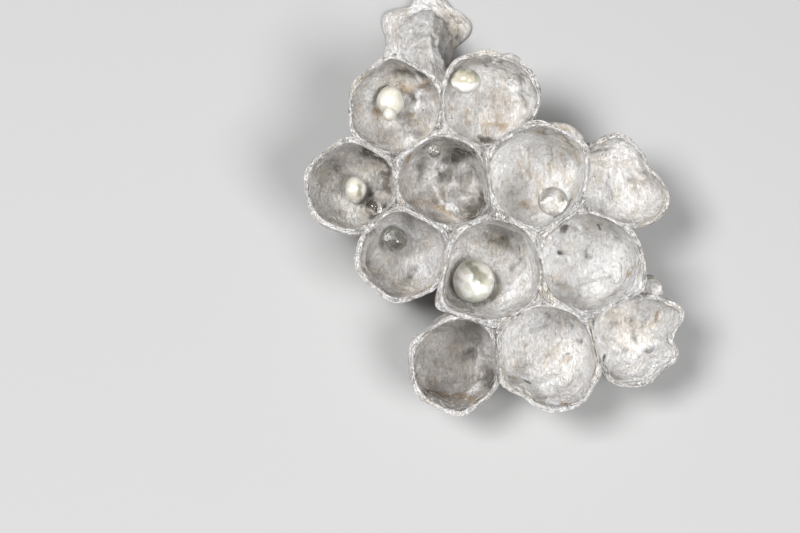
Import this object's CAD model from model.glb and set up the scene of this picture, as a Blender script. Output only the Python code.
"""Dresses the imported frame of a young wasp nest: fibrous paper cells, stalk, cut foot, eggs and nectar drops.

The comb is worked out in its own frame in millimetres: U to the right, V towards the stalk and W out of
the mouths. The whole comb then leans back and is written into each mesh in metres.
"""

import logging
import math
from dataclasses import dataclass
from enum import Enum
from itertools import product

import bpy
import numpy as np
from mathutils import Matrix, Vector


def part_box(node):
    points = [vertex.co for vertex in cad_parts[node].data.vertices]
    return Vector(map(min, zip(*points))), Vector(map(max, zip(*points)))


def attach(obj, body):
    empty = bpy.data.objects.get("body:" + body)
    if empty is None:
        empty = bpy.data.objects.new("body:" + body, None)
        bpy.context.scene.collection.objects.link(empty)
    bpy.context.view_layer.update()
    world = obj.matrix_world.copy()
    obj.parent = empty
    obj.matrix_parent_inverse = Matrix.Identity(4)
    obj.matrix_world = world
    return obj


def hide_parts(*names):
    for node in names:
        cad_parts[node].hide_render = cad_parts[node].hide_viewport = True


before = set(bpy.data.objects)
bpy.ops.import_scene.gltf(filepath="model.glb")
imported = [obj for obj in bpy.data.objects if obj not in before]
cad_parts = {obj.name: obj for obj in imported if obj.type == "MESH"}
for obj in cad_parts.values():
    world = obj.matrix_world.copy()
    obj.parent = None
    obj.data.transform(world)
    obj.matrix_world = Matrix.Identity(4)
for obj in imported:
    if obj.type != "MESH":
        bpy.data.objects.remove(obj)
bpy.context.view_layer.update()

MM = 0.001
LOG = logging.getLogger("wasp_nest")

# Growth of the comb, as in its solids, in millimetres
BASE_LEVEL = -6.0
DOME_HEIGHT = 1.9
DOME_SHARE = 0.85
FLOOR_PAPER = 0.42
NEIGHBOUR_REACH = 6.4
FREE_WALL_GAP = math.radians(38.0)
CORNER_WIDTH = math.radians(20.0)
SPLAY = 0.07
SPLAY_CENTRE = (-1.4, 0.0)
BEND = (0.128, 0.128, 0.064)
BEND_LENGTH = 4.2
BEND_SEED = 40

# How the comb lies
TILT = math.radians(16.0)
COMB_PLACE = (0.10, -3.76, 7.75)

# The view that the photograph gives: its frame in pixels, its scale, and the camera over the comb
PHOTO_WIDTH = 800
PHOTO_HEIGHT = 533
MM_PER_PIXEL = 0.0515
CAMERA_SPOT = (-5.0, -1.88, 120.0)
SENSOR_MM = 36.0

# Patterns of the paper: how flutes are stretched upright, and the height of a course of pulp
FLUTE_STRETCH = (1.0, 1.0, 0.34)
COURSE_PITCH = 0.46

# Lattice noise: an integer hash, and how layers of noise follow each other
HASH_SEED = 0x9E3779B9
HASH_AXES = (0x8DA6B343, 0xD8163841, 0xCB1AB31F)
HASH_ROUNDS = ((13, 0x85EBCA6B), (16, 0xC2B2AE35))
HASH_LAST_SHIFT = 15
UINT32_MOST = 0xFFFFFFFF
LAYER_FADE = 0.55
LAYER_SHIFT = 17.3
CREST_FADE = 0.5
CREST_SHIFT = 9.1

# The tone attribute, the noise that bends the edges of marks, and the least that it leaves of their size
TONE = "tone"
MOST_TONE = 1.8
SWAY_LENGTH = 0.55
SWAY_SEED = 75
ROUGH_LENGTH = 0.34
ROUGH_SEED = 71
LEAST_SIZE = 0.25

Array = np.ndarray
Thing = bpy.types.Object


class Side(Enum):
    """Which face of a cell's wall a fibre lies on."""

    INNER = "inner"
    CORD = "cord"
    RIM = "rim"
    OUTER = "outer"
    MAT = "mat"


def leaned(points: Array) -> Array:
    """Turn points of the comb's frame about X, put them in place and make them metres.

    Args:
        points: rows of (U, V, W) in millimetres.

    Returns:
        Rows of (X, Y, Z) in metres.
    """
    u, v, w = points[..., 0], points[..., 1], points[..., 2]
    x = u + COMB_PLACE[0]
    y = v * math.cos(TILT) - w * math.sin(TILT) + COMB_PLACE[1]
    z = v * math.sin(TILT) + w * math.cos(TILT) + COMB_PLACE[2]
    return np.stack([x, y, z], axis=-1) * MM


def upright(points: Array) -> Array:
    """The way back from leaned: rows of (X, Y, Z) in metres become (U, V, W) in millimetres."""
    x, y, z = (points[..., axis] / MM - COMB_PLACE[axis] for axis in range(3))
    sine, cosine = math.sin(TILT), math.cos(TILT)
    return np.stack([x, y * cosine + z * sine, z * cosine - y * sine], axis=-1)


def seen_at(points: Array) -> Array:
    """Where points of the comb's frame stand in the photograph's frame, by a plain pinhole view along W.

    Args:
        points: rows of (U, V, W) in millimetres.

    Returns:
        Rows of pixels, right and down.
    """
    shrink = CAMERA_SPOT[2] / (CAMERA_SPOT[2] - points[..., 2]) / MM_PER_PIXEL
    across = PHOTO_WIDTH / 2.0 + (points[..., 0] - CAMERA_SPOT[0]) * shrink
    down = PHOTO_HEIGHT / 2.0 - (points[..., 1] - CAMERA_SPOT[1]) * shrink
    return np.stack([across, down], axis=-1)


def lattice_values(places: Array, seed: int) -> Array:
    """Fixed random values from -1 to 1 at whole-number places: an integer mix of the place and the seed.

    Args:
        places: rows of three whole numbers.
        seed: picks one of many independent fields.

    Returns:
        One value for each place.
    """
    mixed = np.uint32((seed * HASH_SEED) & UINT32_MOST)
    for axis, factor in enumerate(HASH_AXES):
        mixed = mixed ^ places[..., axis].astype(np.uint32) * np.uint32(factor)
    for shift, factor in HASH_ROUNDS:
        mixed ^= mixed >> np.uint32(shift)
        mixed *= np.uint32(factor)
    mixed ^= mixed >> np.uint32(HASH_LAST_SHIFT)
    return mixed.astype(np.float64) / (UINT32_MOST / 2.0) - 1.0


def smooth_noise(points: Array, length: float, seed: int) -> Array:
    """Smooth noise from -1 to 1: lattice values blended over each box with a quintic step.

    Args:
        points: rows of three coordinates.
        length: the size of a lattice box.
        seed: picks the field.

    Returns:
        One value for each point.
    """
    scaled = points / length
    low = np.floor(scaled)
    part = scaled - low
    ease = part**3 * (part * (part * 6.0 - 15.0) + 10.0)
    shares = (1.0 - ease, ease)
    corner = low.astype(np.int64)
    total = np.zeros(points.shape[:-1])
    for offset in product((0, 1), repeat=3):
        value = lattice_values(corner + np.array(offset), seed)
        for axis, far in enumerate(offset):
            value *= shares[far][..., axis]
        total += value
    return total


def layered_noise(points: Array, length: float, layers: int, seed: int) -> Array:
    """Noise of several sizes: each layer is half as long as the one before, and weaker."""
    total = np.zeros(points.shape[:-1])
    strength = 1.0
    for layer in range(layers):
        total += strength * smooth_noise(points + LAYER_SHIFT * layer, length / 2.0**layer, seed + layer)
        strength *= LAYER_FADE
    return total


def ridged_noise(points: Array, length: float, layers: int, seed: int) -> Array:
    """Thin crests: one minus the size of smooth noise, sharpened, from 0 in the flats to 1 on a crest."""
    total = np.zeros(points.shape[:-1])
    strength = 0.6
    for layer in range(layers):
        crest = 1.0 - np.abs(smooth_noise(points - CREST_SHIFT * layer, length / 1.9**layer, seed + layer))
        total += strength * crest**6
        strength *= CREST_FADE
    return total


def grown(points: Array) -> Array:
    """Points moved as the nest grew: cells splay from their bottoms, and slow noise bends all the paper."""
    spread = 1.0 + SPLAY * points[..., 2:3] / abs(BASE_LEVEL)
    centre = np.array(SPLAY_CENTRE)
    flat = centre + (points[..., :2] - centre) * spread
    placed = np.concatenate([flat, points[..., 2:3]], axis=-1)
    bend = np.stack([smooth_noise(placed, BEND_LENGTH, BEND_SEED + axis) for axis in range(3)], axis=-1)
    return placed + bend * np.array(BEND)


def make_mesh(name: str, points: Array, faces: list[Array], tones: Array | None = None) -> Thing:
    """A mesh object at the origin from arrays, with no point below the surface that the nest lies on.

    Args:
        name: the object's name.
        points: rows of (X, Y, Z) in metres.
        faces: arrays of corner numbers, each with one row a face and 3 or 4 columns.
        tones: the rows of the tone attribute, one for each point.

    Returns:
        The object, linked to the scene and shaded smooth.
    """
    points[:, 2] = np.maximum(points[:, 2], 0.0)
    mesh = bpy.data.meshes.new(name)
    corners = np.concatenate([block.ravel() for block in faces]).astype(np.int32)
    counts = np.concatenate([np.full(len(block), block.shape[1]) for block in faces])
    starts = np.concatenate([[0], np.cumsum(counts)[:-1]]).astype(np.int32)
    mesh.vertices.add(len(points))
    mesh.vertices.foreach_set("co", points.astype(np.float32).ravel())
    mesh.loops.add(len(corners))
    mesh.loops.foreach_set("vertex_index", corners)
    mesh.polygons.add(len(counts))
    mesh.polygons.foreach_set("loop_start", starts)
    mesh.update(calc_edges=True)
    if tones is not None:
        layer = mesh.color_attributes.new(TONE, "FLOAT_COLOR", "POINT")
        layer.data.foreach_set("color", tones.astype(np.float32).ravel())
    mesh.shade_smooth()
    thing = bpy.data.objects.new(name, mesh)
    bpy.context.scene.collection.objects.link(thing)
    return thing


def closed_faces(rows: int, columns: int) -> list[Array]:
    """Faces of a body whose rings close in turn and whose two ends are single points.

    Point 0 is the first pole, then come the rings row by row, then the last pole.

    Args:
        rows: how many rings there are between the poles.
        columns: points of a ring.

    Returns:
        Quads between the rings and triangles at the poles.
    """
    ring = np.arange(columns)
    after = (ring + 1) % columns
    row = np.arange(rows - 1)[:, None] * columns + 1
    quads = np.stack([row + ring, row + columns + ring, row + columns + after, row + after], axis=-1)
    last = (rows - 1) * columns + 1
    first_fan = np.stack([np.zeros(columns, int), 1 + ring, 1 + after], axis=-1)
    last_fan = np.stack([last + ring, np.full(columns, rows * columns + 1), last + after], axis=-1)
    return [quads.reshape(-1, 4), first_fan, last_fan]


def with_poles(grid: Array) -> Array:
    """Rows of a grid as one list of points, with the first and last rows each drawn together in one point."""
    body = grid[1:-1].reshape(-1, grid.shape[-1])
    return np.concatenate([grid[:1].mean(axis=1), body, grid[-1:].mean(axis=1)])


def closed_body(name: str, grid: Array, tones: Array) -> Thing:
    """A closed mesh from a grid whose rows are rings, with its first and last rows drawn together in points.

    Args:
        name: the object's name.
        grid: places in metres.
        tones: the tone of each place.

    Returns:
        The object.
    """
    faces = closed_faces(grid.shape[0] - 2, grid.shape[1])
    return make_mesh(name, with_poles(grid), faces, with_poles(tones))


def grid_normals(grid: Array) -> Array:
    """Unit normals of a grid whose rows are closed rings: along the columns crossed with along the rings."""
    up = np.gradient(grid, axis=0)
    around = np.roll(grid, -1, axis=1) - np.roll(grid, 1, axis=1)
    normal = unit_vectors(np.cross(up, around))
    normal[0] = normal[1].mean(axis=0)
    normal[-1] = normal[-2].mean(axis=0)
    return normal


def unit_vectors(vectors: Array) -> Array:
    """Vectors made one long."""
    return vectors / np.maximum(np.linalg.norm(vectors, axis=-1, keepdims=True), 1e-9)


def within_one(values: Array) -> Array:
    """Values kept between 0 and 1."""
    return np.clip(values, 0.0, 1.0)


def round_turns(columns: int) -> Array:
    """Directions once round in radians, one for each column."""
    return np.arange(columns) * 2.0 * math.pi / columns


def turned_by(turns: Array, other: Array | float) -> Array:
    """How far directions are from others, from minus half a turn to half a turn."""
    return (turns - other + math.pi) % (2.0 * math.pi) - math.pi


def unit_ball(rings: int, columns: int) -> Array:
    """A ball of radius 1 as a grid: rings from the bottom to the top, columns once round."""
    swing = np.linspace(-math.pi / 2.0, math.pi / 2.0, rings)[:, None]
    turns = round_turns(columns)
    flat = np.cos(swing)
    return np.stack([flat * np.cos(turns), flat * np.sin(turns), np.sin(swing) + 0.0 * turns], axis=-1)


@dataclass(frozen=True)
class CellPlan:
    """One cell: its middle, how far its free walls stand, its rim and floor levels, its corners and grime.

    A corner is a bulge or a dent of a free wall: its direction in degrees, and its size. Grime darkens the
    paper, and under zero it brightens it. The heap is the extra paper on a shallow cell's floor.
    """

    u: float
    v: float
    radius: float
    rim: float = 0.0
    floor: float = BASE_LEVEL
    corners: tuple = ()
    grime: float = 0.0
    heap: float = 0.0


CELLS: dict[str, CellPlan] = {
    "top_left": CellPlan(-5.28, 6.66, 2.50, -1.9, -5.9, ((95.0, 0.15),), 0.14),
    "top_right": CellPlan(-0.36, 6.80, 2.45, -1.5, -5.9, ((128.0, 0.36), (40.0, 0.20), (5.0, 0.32)), -0.05),
    "left": CellPlan(-7.67, 2.32, 2.36, -1.6, -5.7, (), 0.40),
    "centre": CellPlan(-2.68, 2.58, 2.40, -1.0, -6.0, (), 0.24),
    "right": CellPlan(2.12, 2.86, 2.62, 0.0, -6.0, ((45.0, -0.06),), -0.46),
    "far_right": CellPlan(
        6.85, 2.45, 2.20, -2.6, -5.4,
        (
            (134.0, 0.62), (112.0, 0.22), (90.0, 0.38), (32.0, -0.60), (-15.0, 0.28), (-42.0, 0.35),
            (-66.0, 0.20),
        ),
        -0.26,
    ),
    "low_left": CellPlan(-4.89, -1.29, 2.35, -0.5, -6.0, (), 0.22),
    "middle": CellPlan(-0.26, -2.06, 2.55, 0.0, -6.0, (), 0.08),
    "low_right": CellPlan(4.88, -1.52, 2.60, 0.0, -6.0, (), -0.25),
    "bottom_left": CellPlan(-2.16, -7.11, 2.30, -0.7, -6.12, ((-80.0, 0.05),), 0.42),
    "bottom": CellPlan(
        2.68, -6.59, 2.52, -0.2, -6.20, ((-18.0, -0.10), (-50.0, 0.32), (-128.0, -0.22)), -0.42
    ),
    "bottom_right": CellPlan(
        7.50, -5.62, 2.20, -1.0, -6.54,
        ((70.0, 0.20), (27.0, 0.52), (2.0, -0.66), (-60.0, -0.15), (-95.0, 0.15), (-118.0, 0.40)),
        -0.60, 1.3,
    ),
}


@dataclass(frozen=True)
class Walls:
    """The walls of a cell: directions, distances from its middle, and whether another cell shares them."""

    sides: Array
    stands: Array
    shared: Array
    corners: tuple

    @classmethod
    def around(cls, name: str) -> "Walls":
        """Work out a cell's walls from its neighbours and, where it has none, its own radius.

        A shared wall stands where two circles of the cells' radii have equal power.

        Args:
            name: the cell.

        Returns:
            Its walls.
        """
        cell = CELLS[name]
        sides, stands, shared = [], [], []
        for other_name, other in CELLS.items():
            away = math.hypot(other.u - cell.u, other.v - cell.v)
            if other_name == name or away > NEIGHBOUR_REACH:
                continue
            sides.append(math.atan2(other.v - cell.v, other.u - cell.u))
            stands.append(away / 2.0 + (cell.radius**2 - other.radius**2) / (2.0 * away))
            shared.append(True)
        first = min(sides)
        taken = list(sides)
        for step in range(6):
            turn = first + step * math.pi / 3.0
            gaps = [abs(turned_by(turn, side)) for side in taken]
            if min(gaps) > FREE_WALL_GAP:
                sides.append(turn)
                stands.append(cell.radius)
                shared.append(False)
        return cls(np.array(sides), np.array(stands), np.array(shared), cell.corners)

    def reach_of(self, u: Array, v: Array, at_shared: float, at_free: float) -> Array:
        """The outline in the direction of each place, counted from the cell's middle."""
        return self.outline(np.arctan2(v, u).ravel(), at_shared, at_free).reshape(u.shape)

    def near_shared(self, turns: Array) -> Array:
        """How much of the paper in each direction is held by shared walls, from 0 to 1."""
        pull = (np.maximum(np.cos(turns[:, None] - self.sides), 0.0) / self.stands) ** 6.0
        return (pull * self.shared).sum(axis=1) / pull.sum(axis=1)

    def outline(
        self, turns: Array, at_shared: float, at_free: float, sharpness: float = 6.0, soft_power: float = 6.0
    ) -> Array:
        """Distance of the paper's face from the middle: a soft minimum of the walls, with the corners added.

        Args:
            turns: directions in radians.
            at_shared: how far the face stands beyond the middle line of a shared wall.
            at_free: how far it stands beyond a free wall.
            sharpness: the power of the soft minimum where two shared walls meet; more is sharper.
            soft_power: the same power beside free walls.

        Returns:
            One distance for each direction.
        """
        stands = self.stands + np.where(self.shared, at_shared, at_free)
        pull = np.maximum(np.cos(turns[:, None] - self.sides), 0.0) / stands
        soft = pull**soft_power
        free_share = (soft * ~self.shared).sum(axis=1) / soft.sum(axis=1)
        round_line = soft.sum(axis=1) ** (-1.0 / soft_power)
        sharp_line = (pull**sharpness).sum(axis=1) ** (-1.0 / sharpness)
        distance = sharp_line + (round_line - sharp_line) * np.minimum(free_share * 2.0, 1.0)
        for corner_deg, size in self.corners:
            gap = turned_by(turns, math.radians(corner_deg))
            distance = distance + size * np.exp(-((gap / CORNER_WIDTH) ** 2)) * free_share
        return distance


class Edge(Enum):
    """How a mark ends: how many pixels its edge sways, how uneven its size is, and how steeply it fades."""

    SOFT = (2.6, 0.50, 2.0)
    CRISP = (1.2, 0.22, 6.0)


@dataclass(frozen=True)
class Mark:
    """A spot, or with a second end a streak, at the pixel where the photograph shows it.

    Its size is in millimetres. Height in millimetres, pale, tan and dark are what it adds in its middle.
    """

    across: float
    down: float
    size: float
    height: float
    pale: float
    tan: float
    dark: float
    end_across: float | None = None
    end_down: float | None = None

    def adds(self) -> Array:
        """What the mark adds in its middle to height, pale, tan and dark."""
        return np.array([self.height, self.pale, self.tan, self.dark])

    def share(self, place: Array, sway: Array, rough: Array, edge: Edge) -> Array:
        """How much of the mark reaches each point: fading with the distance seen from the mouths.

        Args:
            place: each point's pixel.
            sway: noise that moves the mark's edge, in two directions.
            rough: noise that makes its size uneven.
            edge: how it ends.

        Returns:
            Shares from 0 to 1.
        """
        swayed, uneven, power = edge.value
        start = np.array([self.across, self.down], float)
        end = start if self.end_across is None else np.array([self.end_across, self.end_down], float)
        run = end - start
        away = place + swayed * sway - start
        along = within_one((away @ run) / max(float(run @ run), 1e-9))
        gap = np.linalg.norm(away - along[..., None] * run, axis=-1) * MM_PER_PIXEL
        return np.exp(-((gap / (self.size * np.maximum(1.0 + uneven * rough, LEAST_SIZE))) ** power))


# Rows of Mark: across, down, size, height, pale, tan, dark, and where a streak ends, across and down
SOFT_MARKS: dict[str, tuple[tuple, ...]] = {
    "top_left": (
        (400, 104, 1.7, 0, 0, 0.34, 0.16), (414, 99, 0.26, -0.22, 0, 0, 0.9),
        (376, 112, 0.2, 0.03, 0, 1.1, 0, 377, 117), (405, 88, 0.24, 0.16, 0, 0.7, 0, 428, 81),
        (398, 72, 0.18, -0.05, 0, 0, 0.6, 436, 76), (372, 80, 0.28, 0.12, 0.5, 0, 0, 364, 96),
        (420, 112, 0.34, 0.12, 0.5, 0, 0, 434, 100), (434, 84, 0.12, 0.08, 0.9, 0.2, 0, 435, 92),
        (411, 116, 0.14, -0.04, 0, 0.8, 0, 418, 124), (386, 132, 0.25, -0.06, 0, 0, 0.35, 420, 133),
        (400, 122, 0.22, 0.1, 0.5, 0, 0), (426, 124, 0.22, 0.1, 0.5, 0, 0),
    ),
    "top_right": (
        (490, 104, 1.6, 0, 0.15, 0.42, 0), (521, 76, 0.2, -0.08, 0, 0, 0.6, 524, 110),
        (531, 84, 0.1, 0.1, 0.8, 0, 0, 531, 114), (513, 80, 0.12, 0.1, 0.6, 0, 0, 515, 104),
        (499, 124, 0.26, 0.08, 0, 0.7, 0), (479, 138, 0.24, -0.05, 0, 0.35, 0.95, 499, 146),
        (486, 118, 0.4, 0.12, 0.8, 0, 0, 484, 92), (505, 100, 0.26, -0.08, 0, 0.35, 0.12),
        (476, 96, 0.15, 0.12, 0.5, 0.22, 0, 474, 122), (494, 92, 0.13, 0.1, 0.4, 0.25, 0, 496, 116),
        (466, 104, 0.14, -0.08, 0, 0.45, 0, 468, 124), (485, 128, 0.3, 0.06, 0, 0.45, 0, 510, 122),
        (452, 108, 0.22, 0.08, 0, 0.3, 0.4), (486, 62, 0.14, -0.06, 0, 0, 0.7, 502, 60),
    ),
    "left": (
        (366, 152, 0.26, -0.12, 0, 0, 0.9, 382, 158), (374, 151, 0.1, 0.1, 0.3, 0.5, 0, 384, 156),
        (340, 136, 0.16, 0.02, 0, 0.8, 0, 330, 148), (388, 165, 0.2, -0.03, 0, 0.4, 0.5, 386, 190),
        (360, 209, 0.13, 0.2, 1.3, 0, 0, 369, 199), (369, 198, 0.12, 0.18, 1.2, 0, 0, 380, 194),
        (381, 213, 0.1, 0.04, 1.8, 0, 0), (325, 158, 0.34, 0.08, 0.5, 0, 0, 318, 185),
        (337, 170, 0.3, 0.04, 0, 0, 0.35), (332, 206, 0.3, 0.06, 0.4, 0.2, 0),
    ),
    "centre": (
        (440, 185, 1.7, 0, 0, 0.3, 0), (408, 160, 0.13, 0.03, 0, 1.2, 0, 409, 154),
        (462, 180, 1.2, 0, 0, 0, 0.46), (464, 166, 0.3, 0.3, 1.1, 0, -0.6),
        (453, 182, 0.26, 0.26, 1, 0, -0.6), (474, 189, 0.3, 0.28, 1.1, 0, -0.6),
        (464, 200, 0.22, 0.22, 0.8, 0, -0.5), (437, 192, 0.15, 0.18, 1.3, 0, -0.5, 444, 204),
        (444, 204, 0.15, 0.18, 1.3, 0, -0.5, 458, 208), (441, 176, 0.36, -0.16, 0, 0, 0.45),
        (462, 207, 0.24, -0.14, 0, 0, 0.5, 482, 202), (472, 214, 0.3, -0.12, 0, 0, 0.8, 483, 204),
        (424, 162, 0.26, -0.1, 0, 0, 0.45, 420, 178), (446, 158, 0.34, -0.1, 0, 0, 0.42, 474, 152),
        (414, 203, 0.18, 0.16, 0.7, 0.55, -0.4, 440, 208), (440, 208, 0.17, 0.16, 0.6, 0.65, -0.4, 466, 224),
        (406, 190, 0.24, 0.04, 0.3, 0.4, 0, 410, 172),
    ),
    "right": (
        (540, 170, 1.5, 0, 0.3, 0.24, 0), (509, 168, 0.13, 0.06, 1.7, 0.15, 0, 509, 177),
        (546, 132, 0.12, 0.05, 1.7, 0.35, 0), (538, 150, 0.36, 0.12, 0.9, 0, 0, 536, 188),
        (548, 146, 0.12, -0.05, 0, 0.2, 0.2, 554, 168), (553, 178, 0.2, 0.08, 0.8, 0, 0, 555, 190),
        (514, 190, 0.26, -0.03, 0.35, 0.3, 0, 526, 196), (520, 150, 0.15, 0.14, 0.5, 0.45, 0, 523, 184),
        (528, 146, 0.12, -0.1, 0, 0.4, 0.2, 530, 178), (562, 154, 0.18, 0.12, 0.3, 0.55, 0, 566, 184),
        (551, 152, 0.1, -0.1, 0, 0.3, 0.2, 549, 186), (540, 196, 0.24, 0.1, 0.5, 0.35, 0, 526, 206),
        (556, 128, 0.16, 0.04, 0, 0.4, 0, 572, 144), (524, 204, 0.22, 0.06, 0, 0.3, 0, 540, 209),
        (576, 186, 0.2, 0.03, 0, 0.45, 0, 572, 204), (563, 140, 0.26, 0.02, 0, 0.35, 0.15, 580, 160),
        (530, 131, 0.18, -0.02, 0, 0.35, 0.2, 542, 129), (503, 158, 0.16, -0.02, 0, 0.3, 0.2, 502, 164),
        (556, 196, 0.34, 0, 0, 0, 0.3, 560, 194), (556, 210, 0.36, 0, 1.8, -0.5, -0.6, 564, 204),
    ),
    "far_right": (
        (591, 151, 0.16, -0.04, 0, 0, 0.7, 604, 146), (600, 174, 0.28, 0.03, 0, 0.45, 0, 596, 195),
        (608, 177, 0.12, -0.1, 0, 0, 0.7), (630, 184, 0.15, -0.1, 0, 0, 0.3, 634, 190),
        (622, 152, 0.5, 0.14, 0.8, 0, 0, 628, 166), (641, 200, 0.6, 0, -0.8, 0, 0),
        (627, 180, 0.2, -0.1, 0, 0, 0.36, 638, 184), (606, 184, 0.18, -0.08, 0, 0.2, 0.38, 612, 204),
        (640, 172, 0.22, -0.06, 0, 0, 0.26, 650, 188), (612, 158, 0.14, -0.08, 0, 0, 0.4, 618, 172),
        (616, 196, 0.4, 0.1, 0.7, 0, 0), (602, 160, 0.3, 0.08, 0.6, 0, 0),
        (636, 221, 0.22, -0.03, 0, 0.4, 0.4), (637, 192, 0.12, 0.02, 0, 0.5, 0),
    ),
    "low_left": (
        (380, 262, 0.34, 0.1, 0.4, 0, 0), (412, 272, 0.26, -0.1, 0, 0, 0.7), (434, 281, 0.18, 0.05, 1, 0, 0),
        (372, 232, 0.22, -0.06, 0, 0, 0.5), (392, 240, 0.34, 0, 0, 0.3, 0.7),
        (396, 286, 0.26, 0.06, 0, 0.4, 0, 418, 292),
    ),
    "middle": (
        (500, 300, 0.4, 0.14, 0.9, 0, 0, 520, 290), (516, 254, 0.36, -0.06, 0, 0, 0.42, 506, 244),
        (502, 262, 0.4, 0.12, 0.9, 0, -0.2, 486, 256), (524, 276, 0.22, 0.12, 0.9, 0, -0.2, 500, 300),
        (512, 268, 0.12, -0.1, 0, 0, 0.5, 520, 262), (470, 306, 0.24, -0.08, 0, 0, 0.4),
        (520, 276, 0.22, 0.06, 0, 0.45, 0, 524, 290), (488, 240, 0.2, -0.05, 0, 0, 0.45, 500, 240),
        (497, 275, 0.16, -0.08, 0, 0, 0.5, 500, 282),
    ),
    "low_right": (
        (558, 252, 0.16, -0.26, 0, 0, 1.3), (562, 231, 0.14, -0.14, 0, 0, 0.95, 567, 230),
        (600, 228, 0.11, -0.12, 0, 0, 1.15, 599, 224), (588, 236, 0.26, -0.12, 0, 0.08, 0.34, 586, 256),
        (557, 262, 0.24, -0.1, 0, 0.22, 0.32, 580, 265), (568, 228, 0.13, -0.1, 0, 0, 0.42, 582, 230),
        (598, 246, 0.2, -0.06, 0, 0, 0.26, 604, 262), (596, 268, 0.34, 0.12, 0.7, 0, 0, 612, 268),
        (610, 226, 0.2, -0.08, 0, 0, 0.4, 618, 238), (580, 228, 0.3, 0.12, 0.7, 0, 0),
        (606, 240, 0.4, 0.12, 1.1, 0, -0.2, 598, 234), (600, 262, 0.46, 0.1, 0.9, 0, 0, 616, 254),
        (566, 272, 0.4, 0.1, 0.8, 0, 0, 580, 268), (580, 281, 0.13, -0.08, 0, 0.2, 0.36, 612, 276),
        (587, 291, 0.06, -0.06, 0, 0, 0.6, 607, 289), (560, 291, 0.18, 0.12, 0.7, 0.4, 0, 572, 288),
        (636, 268, 0.12, 0.03, 0, 0.9, 0, 630, 276), (622, 258, 0.1, -0.05, 0, 0, 0.6),
        (590, 252, 0.12, -0.06, 0, 0, 0.45, 589, 258), (628, 246, 0.24, 0, 0, 0.35, 0, 634, 256),
        (552, 234, 0.12, 0, 0, 0.5, 0, 554, 246),
    ),
    "bottom_left": (
        (462, 374, 1.6, 0, 0, 0.22, 0), (488, 366, 0.2, -0.04, 0, 0, 0.35, 486, 384),
        (430, 392, 0.22, 0.05, 0, 0.9, 0, 478, 402), (450, 372, 0.36, 0.12, 0.3, 0, 0),
        (468, 356, 0.26, -0.1, 0, 0, 0.28), (478, 346, 0.14, 0.1, 0.7, 0, -0.2, 476, 372),
        (492, 372, 0.16, -0.06, 0, 0, 0.45, 490, 392), (482, 384, 0.2, 0.1, 0.6, 0, -0.2, 470, 394),
        (490, 350, 0.3, 0.12, 0.5, 0, 0),
    ),
    "bottom": (
        (565, 316, 0.12, 0.12, 0.5, 0.35, 0, 556, 344), (556, 344, 0.14, 0.14, 0.5, 0.35, 0, 544, 372),
        (562, 362, 0.05, -0.1, 0, 0, 0.9, 569, 355), (562, 367, 0.1, 0.1, 0, 0.8, 0, 573, 357),
        (547, 315, 0.2, -0.05, 0, 0, 0.6), (573, 326, 0.13, -0.1, 0, 0, 0.7),
        (586, 334, 0.14, -0.1, 0, 0, 0.42), (574, 341, 0.14, -0.08, 0, 0, 0.6, 580, 341),
        (537, 345, 0.16, -0.1, 0, 0, 0.3, 534, 355), (519, 350, 0.36, 0.12, 1.2, 0, 0),
        (535, 371, 0.26, 0.14, 1.3, 0, 0, 548, 358), (553, 342, 0.16, 0.1, 1, 0, 0, 549, 354),
        (572, 366, 0.3, 0.12, 1.2, 0, 0), (530, 332, 0.15, -0.12, 0, 0.15, 0.48, 552, 324),
        (562, 386, 0.15, -0.12, 0, 0.2, 0.46, 582, 374), (540, 362, 0.13, -0.1, 0, 0, 0.38, 560, 344),
        (545, 386, 0.2, 0.14, 1, 0, 0, 560, 378), (512, 377, 0.09, 0.02, 0, 0.7, 0, 522, 379),
        (522, 379, 0.09, -0.1, 0, 0.4, 0.9, 531, 385), (516, 386, 0.2, 0.14, 0.8, 0, 0, 532, 393),
        (546, 403, 0.12, -0.1, 0, 0, 0.6), (562, 406, 0.14, 0.02, 0, 0.9, 0, 570, 404),
        (590, 345, 0.2, 0, 0, 0.4, 0, 592, 366),
    ),
    "bottom_right": (
        (636, 340, 1.6, 0, 0.45, -0.5, 0), (659, 313, 0.13, 0.05, 0, 1.3, 0, 656, 326),
        (634, 372, 0.1, 0.04, 0, 0.8, 0, 639, 362), (613, 327, 0.18, -0.06, 0, 0, 0.5),
        (605, 356, 0.12, -0.08, 0, 0, 1.1, 604, 360), (618, 318, 0.46, 0.16, 1.4, 0, 0),
        (624, 336, 0.4, 0.14, 1.2, 0, 0), (648, 338, 0.44, 0.16, 1.4, 0, 0, 648, 322),
        (630, 320, 0.14, -0.12, 0, 0, 0.44, 634, 340), (612, 338, 0.14, -0.12, 0, 0.1, 0.42, 626, 350),
        (640, 356, 0.14, -0.12, 0, 0.12, 0.4, 656, 346), (634, 366, 0.3, 0.14, 1.2, 0, 0, 650, 364),
        (612, 352, 0.14, -0.08, 0, 0, 0.3, 650, 350), (620, 364, 0.24, 0.06, 0.3, 0.3, 0, 632, 374),
        (662, 372, 0.34, 0.12, 0.9, 0, 0, 668, 352), (646, 300, 0.2, -0.04, 0, 0.3, 0.4, 656, 298),
    ),
    "egg_middle": (
        (474, 279, 1.2, 0, 0, 0.3, 0), (476, 272, 0.34, 0, 0, 0, 0.8, 484, 280),
        (462, 264, 0.2, 0, 0, 0, 0.6, 472, 262), (470, 270, 0.12, 0, 0, 0, 0.5, 474, 282),
        (458, 270, 0.17, 0, 1.6, 0, -0.8, 476, 286), (457, 282, 0.2, 0, 1.3, 0, -0.8, 466, 294),
        (478, 291, 0.24, 0, 1.2, 0, -0.8, 486, 288), (493, 272, 0.11, 0, 1.6, 0, -0.8, 493, 290),
    ),
    "egg_top_left": (
        (388, 103, 1, 0, 0, 0.45, 0), (387, 101, 0.27, 0, 1.7, 0, 0),
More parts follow.
